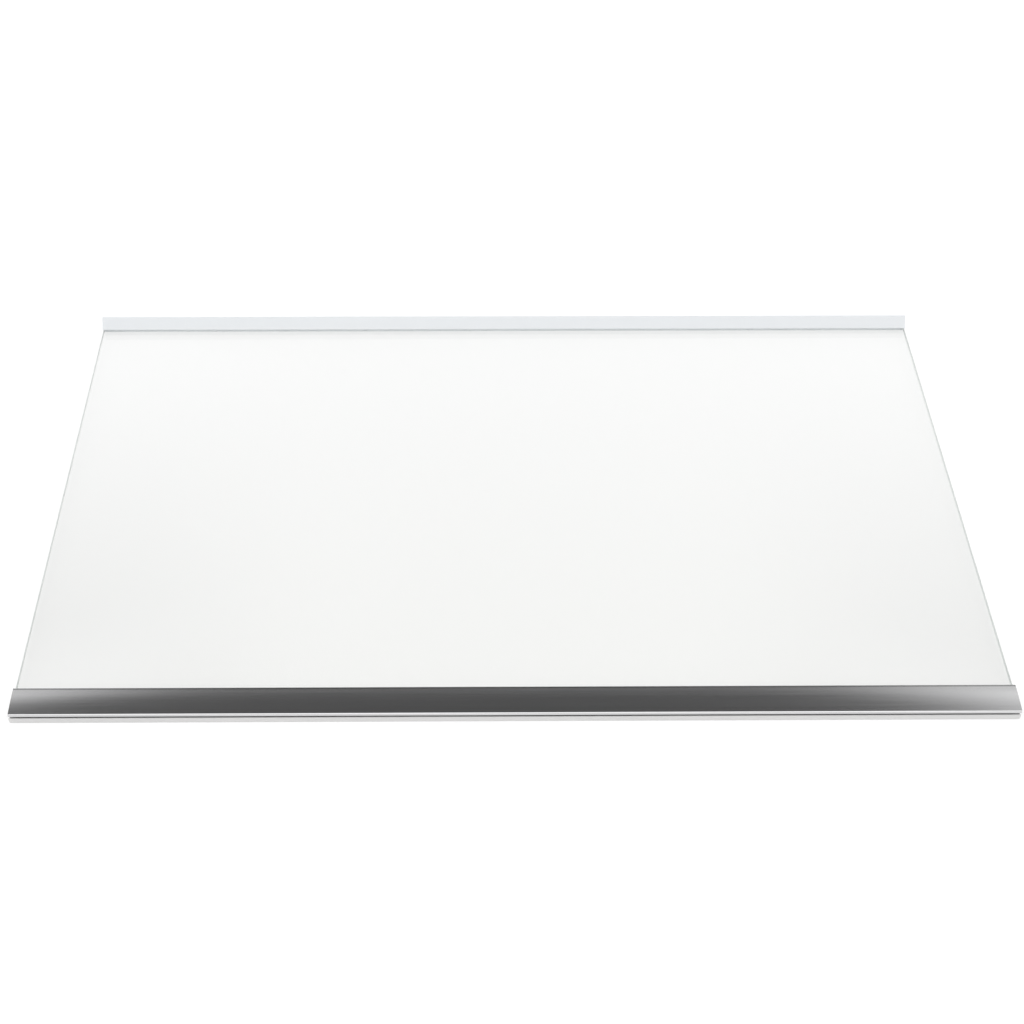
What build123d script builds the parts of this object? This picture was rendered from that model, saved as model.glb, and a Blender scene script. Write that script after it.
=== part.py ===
from build123d import *
import os
from math import cos, radians, tan

# Glass pane
glass_width = 500.0
glass_thickness = 4.0
glass_corner_radius = 2.0
glass_edge_grind = 0.5

# Whole shelf, lying on its two profiles
shelf_depth = 320.0
seat_height = 1.0

# Fits between the pieces
glass_end_clearance = 0.3
glass_face_clearance = 0.1
cover_clearance = 0.1

# Folded steel cover of the front trim
cover_thickness = 0.4
cover_overhang = 0.2
cover_foot_gap = 0.3
trim_depth = 16.8
nose_offset = 1.2
nose_slope = 7.5
nose_run = 8.0
top_slope = 1.0
crown_radius = 95.0
front_drop = 1.95
nose_bend = 0.5
rear_bend = 0.3
hem_bend = 0.5
hem_reach = 1.9
hem_gap = 1.05

# Plastic carrier of the front trim
carrier_overhang = 0.2
carrier_wall = 1.0
carrier_nose = 7.8
carrier_flange = 0.7
carrier_grip = 1.2
carrier_edge_radius = 0.25
nose_chamber_radius = 0.4
lip_setback = 0.1
lip_wall = 0.6
lip_edge_radius = 0.3
lip_end_radius = 1.2
trench_depth = 1.6

# Plastic profile along the rear edge
rear_overhang = 0.2
rear_wall = 1.2
rear_height = 11.7
rear_depth = 5.4
rear_floor_depth = 3.4
rear_crest = 1.6
rear_crest_radius = 0.7
rear_foot = 0.9
rear_edge_radius = 0.3
chamber_radius = 0.3
stop_nose_height = 0.6
stop_nose_reach = 0.25
stop_nose_radius = 0.3

# Grip ribs moulded along the floors of both channels
rib_width = 1.0
rib_height = 0.2
rib_flank_angle = 60.0
rib_pitch = 3.6
rib_inset = 0.5
carrier_ribs = 2
rear_ribs = 1

# Levels and planes shared by the pieces
front_y = -shelf_depth / 2
rear_y = shelf_depth / 2
channel_floor = seat_height - rib_height
glass_top = seat_height + glass_thickness
nose_height = glass_top + nose_offset
hem_floor = nose_height - front_drop
lip_height = hem_floor - hem_gap
carrier_inner_y = front_y + lip_setback + carrier_nose
rear_inner_y = rear_y - rear_wall
glass_front_y = carrier_inner_y + glass_end_clearance
glass_rear_y = rear_inner_y - glass_end_clearance
foot_y = rear_y - rear_depth
toe_y = rear_y - rear_floor_depth
cover_length = glass_width + 2 * cover_overhang
carrier_length = glass_width + 2 * carrier_overhang
rear_length = glass_width + 2 * rear_overhang
nose_rise = tan(radians(nose_slope))
top_rise = tan(radians(top_slope))
carrier_inset = cover_thickness + cover_clearance


def end_plane(length):
    """Cross-section plane at the left end of a profile, with Y across and Z up."""
    return Plane.YZ.offset(-length / 2)


def nose_line(y, inset):
    """Height of the trim's front slope at y, drawn in by a distance."""
    return nose_height + (y - front_y) * nose_rise - inset / cos(radians(nose_slope))


def top_line(y, inset):
    """Height of the trim's flatter rear slope at y, drawn in by a distance."""
    crown_height = nose_height + nose_run * nose_rise
    return crown_height + (y - front_y - nose_run) * top_rise - inset / cos(radians(top_slope))


def trim_corners(inset):
    """Rear, crown and nose corners of the trim's outline, drawn in by a distance."""
    rear = front_y + trim_depth - inset
    front = front_y + inset
    spread = 1 / cos(radians(nose_slope)) - 1 / cos(radians(top_slope))
    crown = front_y + nose_run + inset * spread / (nose_rise - top_rise)
    return [
        (rear, top_line(rear, inset)),
        (crown, top_line(crown, inset)),
        (front, nose_line(front, inset)),
    ]


def grip_ribs(channel_y, count):
    """Low ribs that carry the glass, on the floor of the channel that starts at y."""
    first_y = channel_y + rib_inset + rib_width / 2
    for rib in range(count):
        with Locations((first_y + rib * rib_pitch, channel_floor)):
            Trapezoid(rib_width, rib_height, rib_flank_angle, align=(Align.CENTER, Align.MIN))


os.makedirs("parts", exist_ok=True)

# Toughened pane with rounded corners and ground edges
glass_depth = glass_rear_y - glass_front_y
with BuildPart() as glass_pane:
    with BuildSketch(Plane.XY.offset(seat_height)):
        with Locations((0, (glass_front_y + glass_rear_y) / 2)):
            RectangleRounded(glass_width, glass_depth, glass_corner_radius)
    extrude(amount=glass_thickness)
    chamfer(glass_pane.faces().filter_by(Axis.Z).edges(), length=glass_edge_grind)

# Steel strip folded over the carrier: rear leg, sloping top, rounded nose and hem
cover_foot = glass_top + cover_foot_gap
with BuildPart() as front_cover:
    with BuildSketch(end_plane(cover_length)):
        with BuildLine():
            bends = [rear_bend, crown_radius - cover_thickness, nose_bend, hem_bend]
            outer = FilletPolyline(
                (front_y + trim_depth, cover_foot),
                *trim_corners(0),
                (front_y, hem_floor),
                (front_y + hem_reach, hem_floor),
                radius=[bend + cover_thickness for bend in bends],
            )
            inner = FilletPolyline(
                (front_y + trim_depth - cover_thickness, cover_foot),
                *trim_corners(cover_thickness),
                (front_y + cover_thickness, hem_floor + cover_thickness),
                (front_y + hem_reach, hem_floor + cover_thickness),
                radius=bends,
            )
            Line(outer @ 0, inner @ 0)
            Line(outer @ 1, inner @ 1)
        make_face()
    extrude(amount=cover_length)

# Carrier under the cover: upright lip, groove for the hem, glass channel and sprung upper flange
carrier_rear_y = front_y + trim_depth - carrier_inset
carrier_front_y = front_y + carrier_inset
lip_y = front_y + lip_setback
grip_y = carrier_rear_y - carrier_grip
flange_inset = carrier_inset + carrier_flange
groove_top = hem_floor + cover_thickness + cover_clearance
groove_depth = hem_reach + cover_clearance - lip_setback
nose_chamber_front_y = lip_y + groove_depth + carrier_wall
nose_chamber_rear_y = carrier_inner_y - carrier_wall
nose_chamber_inset = carrier_inset + carrier_wall
with BuildPart() as front_carrier:
    with BuildSketch(end_plane(carrier_length)) as carrier_section:
        with BuildLine():
            core = FilletPolyline(
                (carrier_rear_y, 0),
                *trim_corners(carrier_inset),
                (carrier_front_y, 0),
                radius=[
                    rear_bend - cover_clearance,
                    crown_radius - carrier_inset,
                    nose_bend - cover_clearance,
                ],
            )
            Line(core @ 1, core @ 0)
        make_face()
        with Locations((lip_y, 0)):
            Rectangle(carrier_nose, lip_height, align=Align.MIN)
        with Locations((lip_y, lip_height)):
            Rectangle(groove_depth, groove_top - lip_height, align=Align.MIN, mode=Mode.SUBTRACT)
        with Locations((lip_y + lip_wall, lip_height - trench_depth)):
            Rectangle(groove_depth - lip_wall, trench_depth, align=Align.MIN, mode=Mode.SUBTRACT)
        for height in (0, lip_height):
            lip_edge = carrier_section.vertices().sort_by_distance((lip_y, height))[0]
            fillet(lip_edge, radius=lip_edge_radius)
        groove_corner = carrier_section.vertices().sort_by_distance((carrier_front_y, groove_top))[0]
        fillet(groove_corner, radius=hem_bend - cover_clearance)
        with Locations((carrier_inner_y, channel_floor)):
            Rectangle(trim_depth, glass_top - channel_floor, align=Align.MIN, mode=Mode.SUBTRACT)
        with BuildLine():
            Polyline(
                (carrier_inner_y, glass_top),
                (grip_y, glass_top),
                (grip_y, top_line(grip_y, flange_inset)),
                (carrier_inner_y, glass_top + glass_face_clearance),
                close=True,
            )
        make_face(mode=Mode.SUBTRACT)
        with BuildLine():
            FilletPolyline(
                (nose_chamber_front_y, channel_floor),
                (nose_chamber_rear_y, channel_floor),
                (nose_chamber_rear_y, nose_line(nose_chamber_rear_y, nose_chamber_inset)),
                (nose_chamber_front_y, nose_line(nose_chamber_front_y, nose_chamber_inset)),
                radius=nose_chamber_radius,
                close=True,
            )
        make_face(mode=Mode.SUBTRACT)
        flange_edges = carrier_section.vertices().group_by(Axis.X)[-1].sort_by(Axis.Y)[:3]
        fillet(flange_edges, radius=carrier_edge_radius)
        grip_ribs(glass_front_y, carrier_ribs)
    extrude(amount=carrier_length)
    with BuildSketch(Plane.XZ) as end_outline:
        Rectangle(carrier_length, nose_height + trim_depth, align=(Align.CENTER, Align.MIN))
        fillet(end_outline.vertices().group_by(Axis.Y)[0], radius=lip_end_radius)
    extrude(amount=shelf_depth, both=True, mode=Mode.INTERSECT)

# Rear profile: channel for the glass below, hollow leaning stop above
web_floor = glass_top + glass_face_clearance
web_top = web_floor + rear_wall
nose_y = foot_y - stop_nose_reach
nose_z = glass_top + stop_nose_height
crest_y = rear_y - rear_crest
lean = (crest_y - nose_y) / (rear_height - nose_z)
chamber_shift = rear_wall * (1 + lean**2) ** 0.5
chamber_front_y = nose_y + (web_top - nose_z) * lean + chamber_shift
chamber_top = web_top + (rear_inner_y - chamber_front_y) / lean
with BuildPart() as rear_profile:
    with BuildSketch(end_plane(rear_length)):
        with BuildLine():
            stop = FilletPolyline(
                (foot_y, glass_top),
                (nose_y, nose_z),
                (crest_y, rear_height),
                (rear_y, rear_height),
                (rear_y, 0),
                (toe_y, 0),
                (toe_y, channel_floor),
                (rear_inner_y, channel_floor),
                radius=[
                    stop_nose_radius,
                    rear_crest_radius,
                    rear_crest_radius,
                    rear_edge_radius,
                    rear_edge_radius,
                    rear_edge_radius,
                ],
            )
            Polyline(
                stop @ 1,
                (rear_inner_y, web_floor),
                (foot_y + rear_foot, web_floor),
                (foot_y + rear_foot, glass_top),
                stop @ 0,
            )
        make_face()
        with BuildLine():
            FilletPolyline(
                (chamber_front_y, web_top),
                (rear_inner_y, web_top),
                (rear_inner_y, chamber_top),
                radius=chamber_radius,
                close=True,
            )
        make_face(mode=Mode.SUBTRACT)
        grip_ribs(toe_y, rear_ribs)
    extrude(amount=rear_length)

glass_pane.part.label = "glass_pane"
front_cover.part.label = "front_cover"
front_carrier.part.label = "front_carrier"
rear_profile.part.label = "rear_profile"
export_step(glass_pane.part, "parts/glass_pane.step")
export_step(front_cover.part, "parts/front_cover.step")
export_step(front_carrier.part, "parts/front_carrier.step")
export_step(rear_profile.part, "parts/rear_profile.step")
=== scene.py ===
"""Dressed model of a refrigerator glass shelf: clear pane, steel trim and plastic rear stop."""

import functools
import logging
import math
from dataclasses import dataclass
from enum import Enum
from typing import Any, Mapping, Optional, Sequence, Union

import bmesh
import bpy
from mathutils import Matrix, Vector


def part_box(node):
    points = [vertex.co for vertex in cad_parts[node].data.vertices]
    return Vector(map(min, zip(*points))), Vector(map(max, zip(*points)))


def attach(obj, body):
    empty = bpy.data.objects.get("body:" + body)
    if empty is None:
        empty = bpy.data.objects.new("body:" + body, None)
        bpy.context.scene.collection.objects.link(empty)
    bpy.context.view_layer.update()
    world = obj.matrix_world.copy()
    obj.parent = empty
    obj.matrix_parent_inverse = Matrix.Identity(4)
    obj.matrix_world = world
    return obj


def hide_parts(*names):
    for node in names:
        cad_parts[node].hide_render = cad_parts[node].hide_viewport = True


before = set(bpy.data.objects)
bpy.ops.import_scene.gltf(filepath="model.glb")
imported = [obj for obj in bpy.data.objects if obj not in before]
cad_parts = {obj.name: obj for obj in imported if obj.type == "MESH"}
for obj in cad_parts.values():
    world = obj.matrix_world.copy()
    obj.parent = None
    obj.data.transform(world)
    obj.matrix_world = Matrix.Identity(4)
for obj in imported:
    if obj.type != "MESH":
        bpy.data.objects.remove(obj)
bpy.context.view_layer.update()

LOG = logging.getLogger("glass_shelf")
BODY = "root"
MM = 0.001
BEND_STEP = math.radians(9.0)
ARC_ERROR = 0.002 * MM
LEAST_STEPS = 2
SHARP_ANGLE = math.radians(30.0)
FLAT_ANGLE = math.radians(0.1)
WELD = 0.0001 * MM
QUAD = 4
MIDWAY = 0.5

Colour = tuple[float, float, float, float]
Triple = tuple[float, float, float]
Pair = tuple[float, float]

WHITE: Colour = (1.0, 1.0, 1.0, 1.0)
PALE_WHITE: Colour = (0.845, 0.865, 0.885, 1.0)
SHADED_WHITE: Colour = (0.825, 0.85, 0.875, 1.0)
PALE_GREY: Colour = (0.76, 0.755, 0.75, 1.0)
SHADED_GREY: Colour = (0.73, 0.725, 0.72, 1.0)
ACROSS: Triple = (0.0, 1.0, 1.0)


class Node(Enum):
    """Nodes of the frame that the pieces stand for."""

    PANE = "glass_pane"
    COVER = "front_cover"
    CARRIER = "front_carrier"
    REAR = "rear_profile"


class Slot(Enum):
    """Material slots of the record."""

    GLASS = "glass"
    STEEL = "steel"
    CARRIER = "carrier_plastic"
    REAR = "rear_plastic"


class Ray(Enum):
    """Outputs of the Light Path node that tell what kind of ray has arrived."""

    CAMERA = "Is Camera Ray"
    DIFFUSE = "Is Diffuse Ray"
    GLOSSY = "Is Glossy Ray"
    SHADOW = "Is Shadow Ray"
    TRANSMISSION = "Is Transmission Ray"


class Signal:
    """An output socket that takes part in arithmetic, where each operation adds one Math node."""

    def __init__(self, sheet: "NodeSheet", socket: bpy.types.NodeSocket) -> None:
        """Wrap a socket that belongs to a sheet."""
        self.sheet = sheet
        self.socket = socket

    def output(self, name: str) -> "Signal":
        """Another output of the same node."""
        return Signal(self.sheet, self.socket.node.outputs[name])

    def maths(self, operation: str, *values: "Value") -> "Signal":
        """Add a Math node that works on the values in their order.

        Args:
            operation: Math node operation.
            values: Numbers or signals for its inputs.

        Returns:
            The node's result.
        """
        return self.sheet.add("ShaderNodeMath", {"operation": operation}, dict(enumerate(values)))

    def __add__(self, other: "Value") -> "Signal":
        """Sum."""
        return self.maths("ADD", self, other)

    def __radd__(self, other: float) -> "Signal":
        """Sum with a number on the left."""
        return self.maths("ADD", other, self)

    def __sub__(self, other: "Value") -> "Signal":
        """Difference."""
        return self.maths("SUBTRACT", self, other)

    def __rsub__(self, other: float) -> "Signal":
        """Difference from a number on the left."""
        return self.maths("SUBTRACT", other, self)

    def __mul__(self, other: "Value") -> "Signal":
        """Product."""
        return self.maths("MULTIPLY", self, other)

    def __rmul__(self, other: float) -> "Signal":
        """Product with a number on the left."""
        return self.maths("MULTIPLY", other, self)

    def __abs__(self) -> "Signal":
        """Size without its sign."""
        return self.maths("ABSOLUTE", self)

    def either(self, other: "Value") -> "Signal":
        """The larger of two values."""
        return self.maths("MAXIMUM", self, other)

    def ramp(self, low: float, high: float) -> "Signal":
        """Smooth rise from 0 at low to 1 at high.

        Args:
            low: Value where the rise starts.
            high: Value where it ends.

        Returns:
            The share of the rise.
        """
        settings = {"interpolation_type": "SMOOTHSTEP"}
        sockets = {"Value": self, "From Min": low, "From Max": high}
        return self.sheet.add("ShaderNodeMapRange", settings, sockets)


Value = Union[Signal, float]


class NodeSheet:
    """The node tree of one finish, floor or sky."""

    def __init__(self, tree: bpy.types.NodeTree) -> None:
        """Start with an empty tree."""
        self.tree = tree
        tree.nodes.clear()

    def add(
        self,
        kind: str,
        settings: Optional[Mapping[str, Any]] = None,
        sockets: Optional[Mapping[Union[str, int], Any]] = None,
    ) -> Optional[Signal]:
        """Add one node.

        Args:
            kind: Node type.
            settings: Properties of the node, which are set first.
            sockets: Values or signals of its inputs, by name or place.

        Returns:
            Its first output in use, or None for an output node.
        """
        node = self.tree.nodes.new(kind)
        for key, value in (settings or {}).items():
            setattr(node, key, value)
        for key, value in (sockets or {}).items():
            socket = self.input_of(node, key)
            if isinstance(value, Signal):
                self.tree.links.new(value.socket, socket)
            else:
                socket.default_value = value
        shown = [socket for socket in node.outputs if socket.enabled]
        return Signal(self, shown[0]) if shown else None

    @staticmethod
    def input_of(node: bpy.types.Node, key: Union[str, int]) -> bpy.types.NodeSocket:
        """Find an input of a node.

        Args:
            node: Node to look in.
            key: Name or place of the input.

        Returns:
            The input in use under that name, or at that place.
        """
        if isinstance(key, int):
            return node.inputs[key]
        return next(socket for socket in node.inputs if socket.name == key and socket.enabled)

    def mix(self, share: Value, first: Any, second: Any) -> Signal:
        """Blend two colours.

        Args:
            share: Share of the second colour.
            first: Colour at share 0.
            second: Colour at share 1.

        Returns:
            The blended colour.
        """
        sockets = {"Factor": share, "A": first, "B": second}
        return self.add("ShaderNodeMix", {"data_type": "RGBA"}, sockets)

    def blend(self, share: Value, first: Signal, second: Signal) -> Signal:
        """Blend two shaders.

        Args:
            share: Share of the second shader.
            first: Shader at share 0.
            second: Shader at share 1.

        Returns:
            The blended shader.
        """
        return self.add("ShaderNodeMixShader", None, {0: share, 1: first, 2: second})

    def ray(self, *kinds: Ray) -> Signal:
        """Tell some kinds of rays from all others.

        Args:
            kinds: Kinds to look for.

        Returns:
            1 for rays of these kinds, 0 for others.
        """
        path = self.add("ShaderNodeLightPath")
        found = [path.output(kind.value) for kind in kinds]
        return functools.reduce(Signal.either, found)

    def place(self) -> Signal:
        """Place in the object's own frame, in metres."""
        return self.add("ShaderNodeTexCoord").output("Object")

    def grain(self, size: Triple, detail: float = 2.0) -> Signal:
        """Noise whose specks have a given size along each axis.

        Args:
            size: Length of a speck along X, Y and Z, in metres.
            detail: Number of finer layers.

        Returns:
            The noise, from 0 to 1 with its mean about midway.
        """
        rate = tuple(1.0 / length for length in size)
        sockets = {0: self.place(), 1: rate}
        stretched = self.add("ShaderNodeVectorMath", {"operation": "MULTIPLY"}, sockets)
        sockets = {"Vector": stretched, "Scale": 1.0, "Detail": detail}
        return self.add("ShaderNodeTexNoise", None, sockets)

    def distance(self, axes: Triple, place: Triple) -> Signal:
        """Distance from a place in the object's frame.

        Args:
            axes: 1 for the axes that count and 0 for the others.
            place: Place to measure from, 0 along the axes that don't count.

        Returns:
            The distance, in metres.
        """
        sockets = {0: self.place(), 1: axes}
        flat = self.add("ShaderNodeVectorMath", {"operation": "MULTIPLY"}, sockets)
        return self.add("ShaderNodeVectorMath", {"operation": "DISTANCE"}, {0: flat, 1: place})

    def relief(self, height: Signal, depth: float, strength: float) -> Signal:
        """Bump that stands for fine relief.

        Args:
            height: Height from 0 to 1.
            depth: Depth of the relief, in metres.
            strength: Share of the relief that shows.

        Returns:
            The bumped normal.
        """
        sockets = {"Strength": strength, "Distance": depth, "Height": height}
        return self.add("ShaderNodeBump", None, sockets)


@dataclass(frozen=True)
class Finish:
    """What a material looks like."""

    name: str

    def surface(self, sheet: NodeSheet) -> Signal:
        """Build the shader on a sheet."""
        raise NotImplementedError(self.name)

    def material(self) -> bpy.types.Material:
        """Make the material of this finish.

        Returns:
            A new material with the finish's nodes.
        """
        material = bpy.data.materials.new(self.name)
        material.use_nodes = True
        sheet = NodeSheet(material.node_tree)
        sheet.add("ShaderNodeOutputMaterial", None, {"Surface": self.surface(sheet)})
        return material


@dataclass(frozen=True)
class BrushedSteel(Finish):
    """Stainless steel strip, brushed lengthwise, with painted shade in a dark line along its fold.

    The fold is given by its place across the shelf and up.
    """

    fold: Pair
    light: Colour = (0.695, 0.695, 0.70, 1.0)
    dark: Colour = (0.595, 0.595, 0.60, 1.0)
    # painted shade: tone of the dark line along the rear fold, and the widths where it is full and
    # where it fades
    fold_painted_shade: Colour = (0.37, 0.37, 0.375, 1.0)
    painted_shade_core: float = 1.15 * MM
    painted_shade_reach: float = 1.6 * MM
    line: Triple = (40 * MM, 0.22 * MM, 0.22 * MM)
    band: Triple = (220 * MM, 1.6 * MM, 1.6 * MM)
    line_share: float = 0.6
    roughness: float = 0.16
    swing: float = 0.08
    depth: float = 0.01 * MM
    strength: float = 0.35

    def surface(self, sheet: NodeSheet) -> Signal:
        """Fine brush lines over broader bands, in tone, gloss and relief, and painted shade along
        the fold.

        Args:
            sheet: Sheet to build on.

        Returns:
            The shader.
        """
        lines = sheet.grain(self.line)
        bands = sheet.grain(self.band)
        wear = lines * self.line_share + bands * (1.0 - self.line_share)
        brushed = sheet.mix(wear, self.dark, self.light)
        # painted shade: the base colour darkens to a line along the rear fold
        from_fold = sheet.distance(ACROSS, (0.0, *self.fold))
        away = from_fold.ramp(self.painted_shade_core, self.painted_shade_reach)
        sockets = {
            "Base Color": sheet.mix(away, self.fold_painted_shade, brushed),
            "Metallic": 1.0,
            "Roughness": self.roughness + self.swing * (wear - MIDWAY),
            "Normal": sheet.relief(lines, self.depth, self.strength),
        }
        return sheet.add("ShaderNodeBsdfPrincipled", None, sockets)


@dataclass(frozen=True)
class ExtrudedPlastic(Finish):
    """Satin plastic profile with faint lines from the die along its length."""

    colour: Colour
    shade: Colour
    die_line: Triple = (900 * MM, 0.5 * MM, 0.5 * MM)
    speck: Triple = (0.35 * MM, 0.35 * MM, 0.35 * MM)
    cloud: Triple = (60 * MM, 12 * MM, 12 * MM)
    line_share: float = 0.7
    roughness: float = 0.42
    swing: float = 0.12
    depth: float = 0.02 * MM
    strength: float = 0.25

    def tone(self, sheet: NodeSheet) -> Signal:
        """Colour with a slight change along the profile."""
        return sheet.mix(sheet.grain(self.cloud), self.shade, self.colour)

    def surface(self, sheet: NodeSheet) -> Signal:
        """Die lines and fine grain in relief, with a slight change of tone along the profile.

        Args:
            sheet: Sheet to build on.

        Returns:
            The shader.
        """
        lines = sheet.grain(self.die_line)
        specks = sheet.grain(self.speck)
        height = lines * self.line_share + specks * (1.0 - self.line_share)
        sockets = {
            "Base Color": self.tone(sheet),
            "Roughness": self.roughness + self.swing * (specks - MIDWAY),
            "Normal": sheet.relief(height, self.depth, self.strength),
        }
        return sheet.add("ShaderNodeBsdfPrincipled", None, sockets)


@dataclass(frozen=True, kw_only=True)
class GroovedPlastic(ExtrudedPlastic):
    """Extruded plastic with painted shade on the walls of a groove along its length.

    The groove is given by its lower front corner and its upper rear one, across the shelf and up.
    """

    low: Pair
    high: Pair
    # painted shade: dark grey on the groove's walls, where shade falls under the steel hem
    groove_painted_shade: Colour = (0.46, 0.46, 0.46, 1.0)
    rim: float = 0.02 * MM

    def tone(self, sheet: NodeSheet) -> Signal:
        """Colour that turns to painted shade on the walls of the groove.

        Args:
            sheet: Sheet to build on.

        Returns:
            The colour.
        """
        axes = sheet.add("ShaderNodeSeparateXYZ", None, {0: sheet.place()})
        past = [
            abs(axes.output(axis) - (start + end) / 2) - (end - start) / 2
            for axis, start, end in zip("YZ", self.low, self.high)
        ]
        outside = functools.reduce(Signal.either, past).ramp(self.rim, 2 * self.rim)
        # painted shade darkens the colour inside the groove
        return sheet.mix(outside, self.groove_painted_shade, super().tone(sheet))


@dataclass(frozen=True)
class ClearGlass(Finish):
    """Faces of the toughened pane, faintly wavy from the rollers."""

    tint: Colour = (0.988, 0.992, 0.988, 1.0)
    shade: Colour = (0.97, 0.975, 0.97, 1.0)
    index: float = 1.52
    haze: float = 0.012
    wave: Triple = (260 * MM, 90 * MM, 90 * MM)
    depth: float = 0.05 * MM
    strength: float = 0.02

    def surface(self, sheet: NodeSheet) -> Signal:
        """Glass that bends light for sight and lets the lamps through.

        Args:
            sheet: Sheet to build on.

        Returns:
            The shader.
        """
        waves = sheet.grain(self.wave)
        sockets = {
            "Base Color": self.tint,
            "Roughness": self.haze * waves,
            "IOR": self.index,
            "Transmission Weight": 1.0,
            "Normal": sheet.relief(waves, self.depth, self.strength),
        }
        glass = sheet.add("ShaderNodeBsdfPrincipled", None, sockets)
        clear = sheet.add("ShaderNodeBsdfTransparent", None, {"Color": self.shade})
        return sheet.blend(sheet.ray(Ray.SHADOW, Ray.DIFFUSE), glass, clear)


@dataclass(frozen=True)
class GroundEdge(Finish):
    """Ground edge of the pane, frosted and faintly green."""

    colour: Colour = (0.77, 0.79, 0.78, 1.0)
    shade: Colour = (0.69, 0.72, 0.705, 1.0)
    scratch: Triple = (6 * MM, 6 * MM, 0.15 * MM)
    roughness: float = 0.5
    swing: float = 0.2
    depth: float = 0.02 * MM
    strength: float = 0.4

    def surface(self, sheet: NodeSheet) -> Signal:
        """Frosted surface with marks of the wheel along the edge.

        Args:
            sheet: Sheet to build on.

        Returns:
            The shader.
        """
        marks = sheet.grain(self.scratch)
        sockets = {
            "Base Color": sheet.mix(marks, self.shade, self.colour),
            "Roughness": self.roughness + self.swing * (marks - MIDWAY),
            "Normal": sheet.relief(marks, self.depth, self.strength),
        }
        return sheet.add("ShaderNodeBsdfPrincipled", None, sockets)


@dataclass(frozen=True)
class Corner:
    """A corner of a section's outline, across the shelf and up, and its rounding radius."""

    y: float
    z: float
    radius: float = 0.0

    @property
    def place(self) -> Vector:
        """The corner's place before rounding."""
        return Vector((self.y, self.z))

    def rounded(self, last: Vector, following: Vector) -> list[Vector]:
        """Replace the corner by an arc that meets both its sides.

        Args:
            last: Place of the corner before it.
            following: Place of the corner after it.

        Returns:
            Points of the arc, or the corner itself where it is sharp.
        """
        if not self.radius:
            return [self.place]
        back = (last - self.place).normalized()
        ahead = (following - self.place).normalized()
        half = back.angle(ahead) / 2
        centre = self.place + (back + ahead).normalized() * self.radius / math.sin(half)
        start = self.place + back * self.radius / math.tan(half) - centre
        turn = math.copysign(math.pi - 2 * half, ahead.cross(back))
        step_angle = min(BEND_STEP, 2 * math.acos(1 - ARC_ERROR / self.radius))
        steps = max(LEAST_STEPS, math.ceil(abs(turn) / step_angle))
        turns = [Matrix.Rotation(turn * step / steps, 2) for step in range(steps + 1)]
        return [centre + rotation @ start for rotation in turns]


Outline = Sequence[Corner]


@dataclass
class Piece:
    """A mesh piece under construction."""

    name: str
    node: Node
    slot: Slot

    def __post_init__(self) -> None:
        """Open an empty mesh."""
        self.mesh = bmesh.new()

    def finish(self, *finishes: Finish) -> bpy.types.Object:
        """Close the mesh, dress it and let it stand for its node.

        Args:
            finishes: Finishes in the order of the faces' material numbers.

        Returns:
            The finished object.
        """
        bmesh.ops.recalc_face_normals(self.mesh, faces=self.mesh.faces)
        for face in self.mesh.faces:
            face.smooth = True
        data = bpy.data.meshes.new(self.name)
        self.mesh.to_mesh(data)
        self.mesh.free()
        data.set_sharp_from_angle(angle=SHARP_ANGLE)
        for finish in finishes:
            data.materials.append(finish.material())
        piece = bpy.data.objects.new(self.name, data)
        bpy.context.scene.collection.objects.link(piece)
        piece.modifiers.new("even_normals", "WEIGHTED_NORMAL").keep_sharp = True
        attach(piece, BODY)
        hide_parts(self.node.value)
        LOG.info("%s: %d faces", self.name, len(data.polygons))
        return piece


@dataclass
class Profile(Piece):
    """A piece with one section along the whole width."""

    length: float

    def ring(self, outline: Outline, x: float) -> list[bmesh.types.BMEdge]:
        """Draw one closed outline of the section.

        Args:
            outline: Corners in order.
            x: Place along the width.

        Returns:
            Edges of the ring.
        """
        count = len(outline)
        points = []
        for number, corner in enumerate(outline):
            following = outline[(number + 1) % count]
            points += corner.rounded(outline[number - 1].place, following.place)
        corners = [self.mesh.verts.new((x, point.x, point.y)) for point in points]
        pairs = zip([corners[-1], *corners], corners)
        return [self.mesh.edges.new(pair) for pair in pairs]

    def sweep(self, *outlines: Outline) -> None:
        """Run the section from end to end and close both ends.

        Args:
            outlines: The outer outline and then those of any chambers.
        """
        ends = [[], []]
        for outline in outlines:
            rings = [self.ring(outline, side * self.length / 2) for side in (-1, 1)]
            bmesh.ops.bridge_loops(self.mesh, edges=rings[0] + rings[1])
            for end, ring in zip(ends, rings):
                end += ring
        for end in ends:
            bmesh.ops.triangle_fill(self.mesh, edges=end, use_beauty=True)

    def round_ends(self, radius: float, facets: int = 6) -> None:
        """Round the lower corner of both ends with narrow flat cuts.

        Args:
            radius: Radius of the rounding.
            facets: Cuts on each end.
        """
        for side in (-1, 1):
            for facet in range(facets):
                angle = math.pi / 2 * (facet + MIDWAY) / facets
                normal = Vector((side * math.cos(angle), 0.0, -math.sin(angle)))
                centre = Vector((side * (self.length / 2 - radius), 0.0, radius))
                self.trim(centre + normal * radius, normal)
        many_sided = [face for face in self.mesh.faces if len(face.verts) > QUAD]
        bmesh.ops.triangulate(self.mesh, faces=many_sided)

    def trim(self, place: Vector, normal: Vector) -> None:
        """Cut off what lies outside a plane and close the cut.

        Args:
            place: Point of the plane.
            normal: Direction that is cut off.
        """
        everything = [*self.mesh.verts, *self.mesh.edges, *self.mesh.faces]
        cut = bmesh.ops.bisect_plane(
            self.mesh,
            geom=everything,
            dist=WELD,
            plane_co=place,
            plane_no=normal,
            clear_outer=True,
        )["geom_cut"]
        open_edges = [part for part in cut if isinstance(part, bmesh.types.BMEdge)]
        bmesh.ops.triangle_fill(self.mesh, edges=open_edges, use_beauty=True)
        bmesh.ops.recalc_face_normals(self.mesh, faces=self.mesh.faces)
        bmesh.ops.dissolve_limit(
            self.mesh,
            angle_limit=FLAT_ANGLE,
            verts=self.mesh.verts,
            edges=self.mesh.edges,
        )


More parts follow.
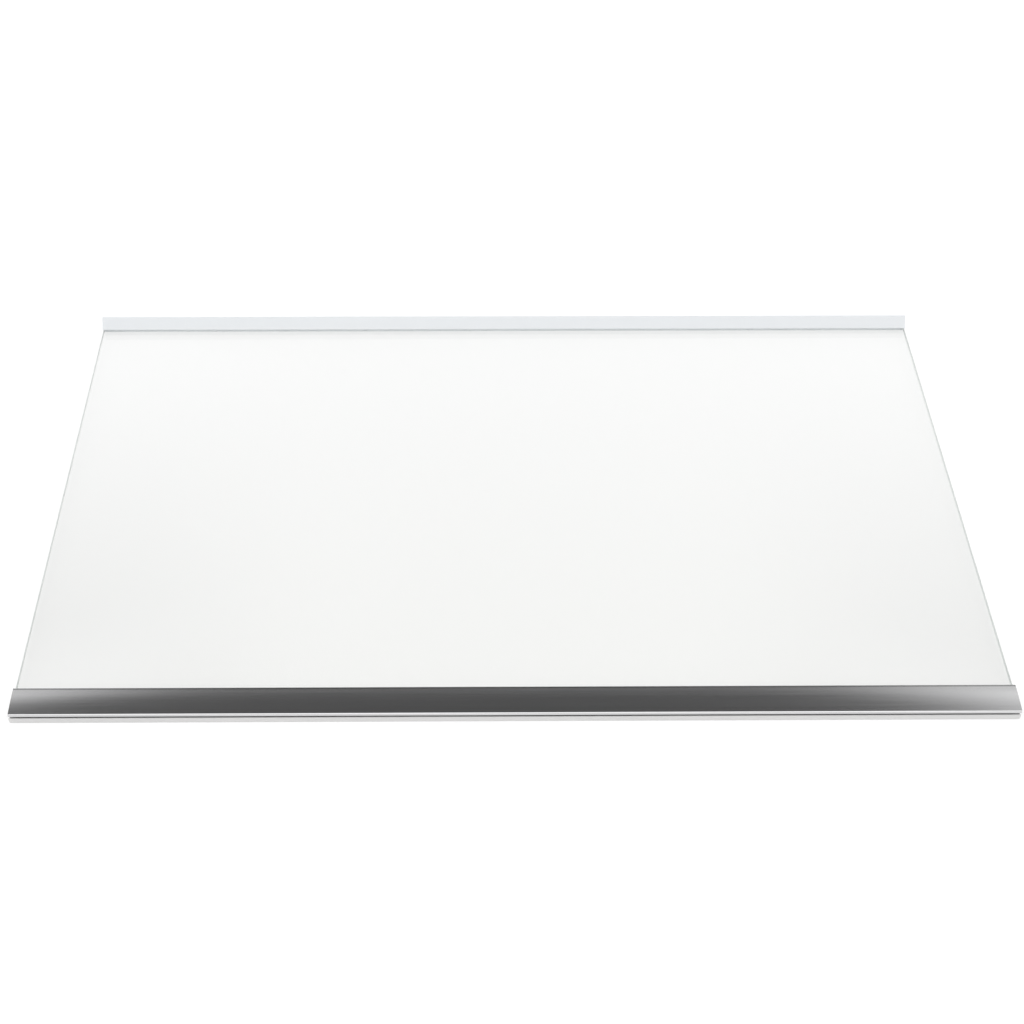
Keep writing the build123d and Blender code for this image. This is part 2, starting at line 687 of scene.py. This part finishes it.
@dataclass
class GlassPane:
    """The pane: two clear faces, rounded corners and ground edges."""

    corner_radius: float = 2.0 * MM
    grind: float = 0.5 * MM
    corner_steps: int = 10

    def outline(self, inset: float) -> list[Vector]:
        """Outline of the pane in plan.

        Args:
            inset: Distance that the outline is drawn in.

        Returns:
            Points around the pane.
        """
        low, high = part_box(Node.PANE.value)
        radius = self.corner_radius - inset
        middle = (low + high) / 2
        reach = (high - low) / 2 - Vector((self.corner_radius, self.corner_radius, 0.0))
        points = []
        for quarter, (side, end) in enumerate(((1, 1), (-1, 1), (-1, -1), (1, -1))):
            centre = Vector((middle.x + side * reach.x, middle.y + end * reach.y))
            for step in range(self.corner_steps + 1):
                angle = math.pi / 2 * (quarter + step / self.corner_steps)
                points.append(centre + radius * Vector((math.cos(angle), math.sin(angle))))
        return points

    def build(self, face: Finish, edge: Finish) -> bpy.types.Object:
        """Build the pane as a closed body.

        Args:
            face: Finish of the two faces.
            edge: Finish of the ground edge.

        Returns:
            The pane.
        """
        low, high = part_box(Node.PANE.value)
        piece = Piece("pane", Node.PANE, Slot.GLASS)
        levels = (
            (self.grind, low.z),
            (0.0, low.z + self.grind),
            (0.0, high.z - self.grind),
            (self.grind, high.z),
        )
        rings = []
        for inset, level in levels:
            outline = self.outline(inset)
            rings.append([piece.mesh.verts.new((*point, level)) for point in outline])
        for below, above in zip(rings, rings[1:]):
            for number in range(len(below)):
                band = (below[number - 1], below[number], above[number], above[number - 1])
                piece.mesh.faces.new(band).material_index = 1
        for ring in (rings[0], rings[-1]):
            piece.mesh.faces.new(ring)
        return piece.finish(face, edge)


@dataclass
class GripRibs:
    """Low ribs on a channel's floor, which carry the glass."""

    width: float = 1.0 * MM
    height: float = 0.2 * MM
    flank: float = math.radians(60.0)
    pitch: float = 3.6 * MM
    inset: float = 0.5 * MM
    count: int = 1

    def corners(self, channel_y: float, seat: float) -> list[Corner]:
        """Corners of the ribs from the rear one to the front one.

        Args:
            channel_y: Front end of the channel.
            seat: Height that the glass lies at.

        Returns:
            Corners in the order in which the outline runs forwards.
        """
        floor = seat - self.height
        taper = self.height / math.tan(self.flank)
        corners = []
        for rib in reversed(range(self.count)):
            front = channel_y + self.inset + rib * self.pitch
            rear = front + self.width
            corners += [Corner(rear, floor), Corner(rear - taper, seat)]
            corners += [Corner(front + taper, seat), Corner(front, floor)]
        return corners


@dataclass
class FrontTrim:
    """Folded steel cover on its plastic carrier, along the front edge of the glass."""

    sheet: float = 0.4 * MM
    cover_clearance: float = 0.1 * MM
    front_drop: float = 1.95 * MM
    nose_slope: float = math.radians(7.5)
    nose_run: float = 8.0 * MM
    top_slope: float = math.radians(1.0)
    crown_radius: float = 95.0 * MM
    nose_bend: float = 0.5 * MM
    rear_bend: float = 0.3 * MM
    hem_bend: float = 0.5 * MM
    hem_reach: float = 1.9 * MM
    hem_gap: float = 1.05 * MM
    wall: float = 1.0 * MM
    nose: float = 7.8 * MM
    flange: float = 0.7 * MM
    grip: float = 1.2 * MM
    face_clearance: float = 0.1 * MM
    edge_radius: float = 0.25 * MM
    chamber_radius: float = 0.4 * MM
    lip_wall: float = 0.6 * MM
    lip_edge_radius: float = 0.3 * MM
    lip_end_radius: float = 1.2 * MM
    trench_depth: float = 1.6 * MM

    def __post_init__(self) -> None:
        """Read the places that the frame gives."""
        self.low, self.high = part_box(Node.COVER.value)
        self.carrier_low, self.carrier_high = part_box(Node.CARRIER.value)
        self.glass_low, self.glass_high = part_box(Node.PANE.value)
        self.hem_floor = self.low.z
        self.lip_height = self.hem_floor - self.hem_gap
        self.nose_height = self.hem_floor + self.front_drop
        self.groove_low = (self.carrier_low.y + self.lip_wall, self.lip_height - self.trench_depth)
        groove_y = self.low.y + self.hem_reach + self.cover_clearance
        self.groove_high = (groove_y, self.hem_floor + self.sheet + self.cover_clearance)

    def nose_line(self, y: float, inset: float) -> float:
        """Height of the front slope.

        Args:
            y: Place across the shelf.
            inset: Distance that the outline is drawn in.

        Returns:
            The height there.
        """
        rise = (y - self.low.y) * math.tan(self.nose_slope)
        return self.nose_height + rise - inset / math.cos(self.nose_slope)

    def top_line(self, y: float, inset: float) -> float:
        """Height of the flatter rear slope.

        Args:
            y: Place across the shelf.
            inset: Distance that the outline is drawn in.

        Returns:
            The height there.
        """
        crown_y = self.low.y + self.nose_run
        rise = (y - crown_y) * math.tan(self.top_slope)
        return self.nose_line(crown_y, 0.0) + rise - inset / math.cos(self.top_slope)

    def top_corners(self, inset: float, rear: float, nose: float) -> list[Corner]:
        """Rear, crown and nose corners of the trim.

        Args:
            inset: Distance that the outline is drawn in.
            rear: Radius of the rear corner.
            nose: Radius of the nose corner.

        Returns:
            The three corners, from the rear to the front.
        """
        rear_y = self.high.y - inset
        front_y = self.low.y + inset
        spread = 1 / math.cos(self.nose_slope) - 1 / math.cos(self.top_slope)
        crown_y = self.low.y + self.nose_run
        crown_y += inset * spread / (math.tan(self.nose_slope) - math.tan(self.top_slope))
        return [
            Corner(rear_y, self.top_line(rear_y, inset), rear),
            Corner(crown_y, self.top_line(crown_y, inset), self.crown_radius - inset),
            Corner(front_y, self.nose_line(front_y, inset), nose),
        ]

    def cover_outline(self) -> list[Corner]:
        """Section of the folded strip: outer side to the hem's end and inner side back.

        Returns:
            Corners of the closed outline.
        """
        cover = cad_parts[Node.COVER.value].data
        rear_y = self.high.y - self.sheet / 2
        foot = min(vertex.co.z for vertex in cover.vertices if vertex.co.y > rear_y)
        hem_end = self.low.y + self.hem_reach
        hem_top = self.hem_floor + self.sheet
        outer = [
            Corner(self.high.y, foot),
            *self.top_corners(0.0, self.rear_bend + self.sheet, self.nose_bend + self.sheet),
            Corner(self.low.y, self.hem_floor, self.hem_bend + self.sheet),
            Corner(hem_end, self.hem_floor),
        ]
        inner = [
            Corner(self.high.y - self.sheet, foot),
            *self.top_corners(self.sheet, self.rear_bend, self.nose_bend),
            Corner(self.low.y + self.sheet, hem_top, self.hem_bend),
            Corner(hem_end, hem_top),
        ]
        return outer + inner[::-1]

    def carrier_outline(self, ribs: GripRibs) -> list[Corner]:
        """Section of the carrier: lip, floor with ribs, channel, sprung flange and hem groove.

        Args:
            ribs: Ribs on the channel's floor.

        Returns:
            Corners of the closed outline.
        """
        inset = self.sheet + self.cover_clearance
        lip_y = self.carrier_low.y
        rear_y = self.carrier_high.y
        inner_y = lip_y + self.nose
        grip_y = rear_y - self.grip
        floor = self.glass_low.z - ribs.height
        trench_y, trench_floor = self.groove_low
        groove_y, groove_top = self.groove_high
        glass_top = self.glass_high.z
        bend = self.rear_bend - self.cover_clearance
        tip = self.nose_bend - self.cover_clearance
        return [
            Corner(lip_y, 0.0, self.lip_edge_radius),
            Corner(rear_y, 0.0, self.edge_radius),
            Corner(rear_y, floor, self.edge_radius),
            *ribs.corners(self.glass_low.y, self.glass_low.z),
            Corner(inner_y, floor),
            Corner(inner_y, glass_top + self.face_clearance),
            Corner(grip_y, self.top_line(grip_y, inset + self.flange)),
            Corner(grip_y, glass_top),
            Corner(rear_y, glass_top, self.edge_radius),
            *self.top_corners(inset, bend, tip),
            Corner(self.low.y + inset, groove_top, self.hem_bend - self.cover_clearance),
            Corner(groove_y, groove_top),
            Corner(groove_y, trench_floor),
            Corner(trench_y, trench_floor),
            Corner(trench_y, self.lip_height),
            Corner(lip_y, self.lip_height, self.lip_edge_radius),
        ]

    def chamber_outline(self, ribs: GripRibs) -> list[Corner]:
        """Chamber in the carrier's nose.

        Args:
            ribs: Ribs that set the height of the floor.

        Returns:
            Corners of the closed outline.
        """
        floor = self.glass_low.z - ribs.height
        groove_y, _ = self.groove_high
        front_y = groove_y + self.wall
        rear_y = self.carrier_low.y + self.nose - self.wall
        inset = self.sheet + self.cover_clearance + self.wall
        return [
            Corner(front_y, floor, self.chamber_radius),
            Corner(rear_y, floor, self.chamber_radius),
            Corner(rear_y, self.nose_line(rear_y, inset), self.chamber_radius),
            Corner(front_y, self.nose_line(front_y, inset), self.chamber_radius),
        ]

    def build_cover(self, finish: Finish) -> bpy.types.Object:
        """Build the steel cover.

        Args:
            finish: Finish of the steel.

        Returns:
            The cover.
        """
        piece = Profile("steel_cover", Node.COVER, Slot.STEEL, self.high.x - self.low.x)
        piece.sweep(self.cover_outline())
        return piece.finish(finish)

    def build_carrier(self, finish: Finish, ribs: GripRibs) -> bpy.types.Object:
        """Build the plastic carrier.

        Args:
            finish: Finish of the plastic.
            ribs: Ribs on the channel's floor.

        Returns:
            The carrier.
        """
        length = self.carrier_high.x - self.carrier_low.x
        piece = Profile("trim_carrier", Node.CARRIER, Slot.CARRIER, length)
        piece.sweep(self.carrier_outline(ribs), self.chamber_outline(ribs))
        piece.round_ends(self.lip_end_radius)
        return piece.finish(finish)


@dataclass
class RearStop:
    """Plastic profile on the rear edge of the glass, with a hollow stop that leans back."""

    wall: float = 1.2 * MM
    depth: float = 5.4 * MM
    floor_depth: float = 3.4 * MM
    crest: float = 1.6 * MM
    crest_radius: float = 0.7 * MM
    foot: float = 0.9 * MM
    edge_radius: float = 0.3 * MM
    chamber_radius: float = 0.3 * MM
    nose_height: float = 0.6 * MM
    nose_reach: float = 0.25 * MM
    nose_radius: float = 0.3 * MM
    face_clearance: float = 0.1 * MM

    def __post_init__(self) -> None:
        """Read the places that the frame gives."""
        self.low, self.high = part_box(Node.REAR.value)
        self.glass_low, self.glass_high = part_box(Node.PANE.value)
        self.foot_y = self.high.y - self.depth
        self.inner_y = self.high.y - self.wall
        self.web_floor = self.glass_high.z + self.face_clearance
        nose_y = self.foot_y - self.nose_reach
        nose_z = self.glass_high.z + self.nose_height
        self.nose = Corner(nose_y, nose_z, self.nose_radius)
        self.brow = Corner(self.high.y - self.crest, self.high.z, self.crest_radius)

    def outline(self, ribs: GripRibs) -> list[Corner]:
        """Section of the profile around its channel.

        Args:
            ribs: Ribs on the channel's floor.

        Returns:
            Corners of the closed outline.
        """
        floor = self.glass_low.z - ribs.height
        glass_top = self.glass_high.z
        toe_y = self.high.y - self.floor_depth
        return [
            Corner(self.foot_y, glass_top),
            self.nose,
            self.brow,
            Corner(self.high.y, self.high.z, self.crest_radius),
            Corner(self.high.y, self.low.z, self.edge_radius),
            Corner(toe_y, self.low.z, self.edge_radius),
            Corner(toe_y, floor, self.edge_radius),
            *ribs.corners(toe_y, self.glass_low.z)[::-1],
            Corner(self.inner_y, floor),
            Corner(self.inner_y, self.web_floor),
            Corner(self.foot_y + self.foot, self.web_floor),
            Corner(self.foot_y + self.foot, glass_top),
        ]

    def chamber_outline(self) -> list[Corner]:
        """Chamber inside the stop, with an even wall behind the leaning face.

        Returns:
            Corners of the closed outline.
        """
        web_top = self.web_floor + self.wall
        lean = (self.brow.y - self.nose.y) / (self.brow.z - self.nose.z)
        front_y = self.nose.y + (web_top - self.nose.z) * lean
        front_y += self.wall * math.hypot(1.0, lean)
        top = web_top + (self.inner_y - front_y) / lean
        return [
            Corner(front_y, web_top, self.chamber_radius),
            Corner(self.inner_y, web_top, self.chamber_radius),
            Corner(self.inner_y, top, self.chamber_radius),
        ]

    def build(self, finish: Finish, ribs: GripRibs) -> bpy.types.Object:
        """Build the profile.

        Args:
            finish: Finish of the plastic.
            ribs: Ribs on the channel's floor.

        Returns:
            The profile.
        """
        piece = Profile("rear_stop", Node.REAR, Slot.REAR, self.high.x - self.low.x)
        piece.sweep(self.outline(ribs), self.chamber_outline())
        return piece.finish(finish)


@dataclass(frozen=True)
class PaleFloor(Finish):
    """White floor that shows as the background and keeps soft shadows; seen through the glass it
    glows with a painted pool of light.
    """

    colour: Colour = (0.82, 0.82, 0.82, 1.0)
    shaded: Colour = (0.45, 0.45, 0.45, 1.0)
    glow: Colour = (0.64, 0.64, 0.64, 1.0)
    # painted light: through the glass the shadow share is smaller and a glow stands in for light,
    # brightest at the front middle, dimmer at the front corners and the rear
    shaded_under: Colour = (0.18, 0.18, 0.18, 1.0)
    near: Colour = (0.83, 0.83, 0.82, 1.0)
    corner: Colour = (0.74, 0.74, 0.735, 1.0)
    far: Colour = (0.75, 0.75, 0.75, 1.0)
    near_y: float = -0.16
    far_y: float = 0.16
    middle_x: float = 0.08
    side_x: float = 0.26

    def surface(self, sheet: NodeSheet) -> Signal:
        """White for sight and mirrors, plain matt for the light that it gives back.

        Args:
            sheet: Sheet to build on.

        Returns:
            The shader.
        """
        seen = sheet.ray(Ray.CAMERA, Ray.GLOSSY, Ray.TRANSMISSION)
        matt = sheet.add("ShaderNodeBsdfDiffuse", None, {"Color": self.colour})
        axes = sheet.add("ShaderNodeSeparateXYZ", None, {0: sheet.place()})
        # painted light pool: the glow seen through the glass fades sideways and towards the rear
        sideways = abs(axes.output("X")).ramp(self.middle_x, self.side_x)
        away = axes.output("Y").ramp(self.near_y, self.far_y)
        front = sheet.mix(sideways, self.near, self.corner)
        painted_light_pool = sheet.mix(away, front, self.far)
        through = sheet.ray(Ray.TRANSMISSION)
        shaded = sheet.mix(through, self.shaded, self.shaded_under)
        light = sheet.mix(through, self.glow, painted_light_pool)
        soft = sheet.add("ShaderNodeBsdfDiffuse", None, {"Color": shaded})
        glow = sheet.add("ShaderNodeEmission", None, {"Color": light})
        white = sheet.add("ShaderNodeAddShader", None, {0: soft, 1: glow})
        return sheet.blend(seen, matt, white)


@dataclass
class Studio:
    """Floor, soft light from all round with a dark ceiling, and the camera.

    Parts of the sky are given by their level of light, and by the X, Y or Z of the directions
    between which they fade in.
    """

    floor_reach: float = 30.0
    floor_drop: float = 0.05 * MM
    bright: float = 1.08
    gleam: float = 1.5
    backdrop: float = 1.45
    ceiling: float = 0.10
    ceiling_start: float = 0.58
    ceiling_full: float = 0.77
    panel: float = 1.21
    panel_centre: float = 0.0155
    panel_lean: float = -0.195
    panel_start: float = 0.1675
    panel_full: float = 0.2935
    panel_spread: float = 0.685
    panel_level: float = 0.753
    panel_low: float = 0.70
    panel_high: float = 0.76
    rear_start: float = -0.25
    rear_full: float = 0.15
    horizon: float = 0.78
    horizon_rear: float = 0.4
    horizon_tilt: float = 0.06
    horizon_start: float = 0.44
    horizon_end: float = 0.535
    lens: float = 62.055
    sensor: float = 36.0
    shift: float = 0.0328
    place: Triple = (-0.02426, -0.73006, 0.67052)
    pitch: float = math.radians(42.855)
    yaw: float = math.radians(0.545)
    roll: float = math.radians(-0.197)

    def build_floor(self) -> None:
        """Lay the floor under the shelf."""
        mesh = bmesh.new()
        lowered = Matrix.Translation((0.0, 0.0, -self.floor_drop))
        bmesh.ops.create_grid(mesh, size=self.floor_reach, matrix=lowered)
        data = bpy.data.meshes.new("floor")
        mesh.to_mesh(data)
        mesh.free()
        paint = PaleFloor("pale_floor").material()
        paint.cycles.emission_sampling = "NONE"
        data.materials.append(paint)
        floor = bpy.data.objects.new("floor", data)
        bpy.context.scene.collection.objects.link(floor)

    def build_sky(self) -> None:
        """Light the shelf from all round, with a dark ceiling between two bright sides.

        Mirrors show a brighter front and a dim horizon, and the camera sees plain white.
        """
        world = bpy.data.worlds.new("studio")
        world.use_nodes = True
        sheet = NodeSheet(world.node_tree)
        direction = sheet.add("ShaderNodeTexCoord").output("Generated")
        axes = sheet.add("ShaderNodeSeparateXYZ", None, {0: direction})
        height = axes.output("Z")
        overhead = height.ramp(self.ceiling_start, self.ceiling_full)
        behind = axes.output("Y").ramp(self.rear_start, self.rear_full)
        raised = height - self.panel_level
        middle = self.panel_centre + self.panel_lean * raised
        apart = abs(axes.output("X") - middle) - self.panel_spread * raised
        beside = apart.ramp(self.panel_start, self.panel_full)
        panels = self.panel * beside * height.ramp(self.panel_low, self.panel_high)
        wall = self.backdrop + overhead * (self.ceiling - self.backdrop) + panels
        mirrored = sheet.ray(Ray.GLOSSY)
        front = self.bright + mirrored * (self.gleam - self.bright)
        level = front + behind * (wall - front)
        risen = height - self.horizon_tilt * axes.output("Y")
        low = mirrored * (1.0 - risen.ramp(self.horizon_start, self.horizon_end))
        horizon = self.horizon + behind * (self.horizon_rear - self.horizon)
        level = level + low * (horizon - level)
        studio = sheet.add("ShaderNodeBackground", None, {"Color": WHITE, "Strength": level})
        white = sheet.add("ShaderNodeBackground", None, {"Color": WHITE, "Strength": 1.0})
        view = sheet.blend(sheet.ray(Ray.CAMERA), studio, white)
        sheet.add("ShaderNodeOutputWorld", None, {"Surface": view})
        bpy.context.scene.world = world

    def build_camera(self) -> None:
        """Set the camera up where the picture was taken from."""
        data = bpy.data.cameras.new("camera")
        data.lens = self.lens
        data.sensor_width = self.sensor
        data.shift_x = self.shift
        camera = bpy.data.objects.new("camera", data)
        turned = Matrix.Rotation(-self.yaw, 4, "Z")
        tilted = Matrix.Rotation(math.pi / 2 - self.pitch, 4, "X")
        rolled = Matrix.Rotation(-self.roll, 4, "Z")
        camera.matrix_world = Matrix.Translation(self.place) @ turned @ tilted @ rolled
        bpy.context.scene.collection.objects.link(camera)
        bpy.context.scene.camera = camera

    def build(self) -> None:
        """Set up the stage."""
        self.build_floor()
        self.build_sky()
        self.build_camera()
        bpy.context.scene.view_settings.view_transform = "Standard"


def main() -> None:
    """Build the shelf and its stage."""
    logging.basicConfig(level=logging.INFO, format="%(name)s: %(message)s")
    trim = FrontTrim()
    white = ExtrudedPlastic("white_plastic", PALE_WHITE, SHADED_WHITE)
    grey = GroovedPlastic(
        "grey_plastic",
        PALE_GREY,
        SHADED_GREY,
        low=trim.groove_low,
        high=trim.groove_high,
    )
    steel = BrushedSteel("brushed_steel", (trim.high.y, trim.high.z))
    GlassPane().build(ClearGlass("clear_glass"), GroundEdge("ground_edge"))
    trim.build_cover(steel)
    trim.build_carrier(grey, GripRibs(count=2))
    RearStop().build(white, GripRibs())
    Studio().build()


if __name__ == "__main__":
    main()
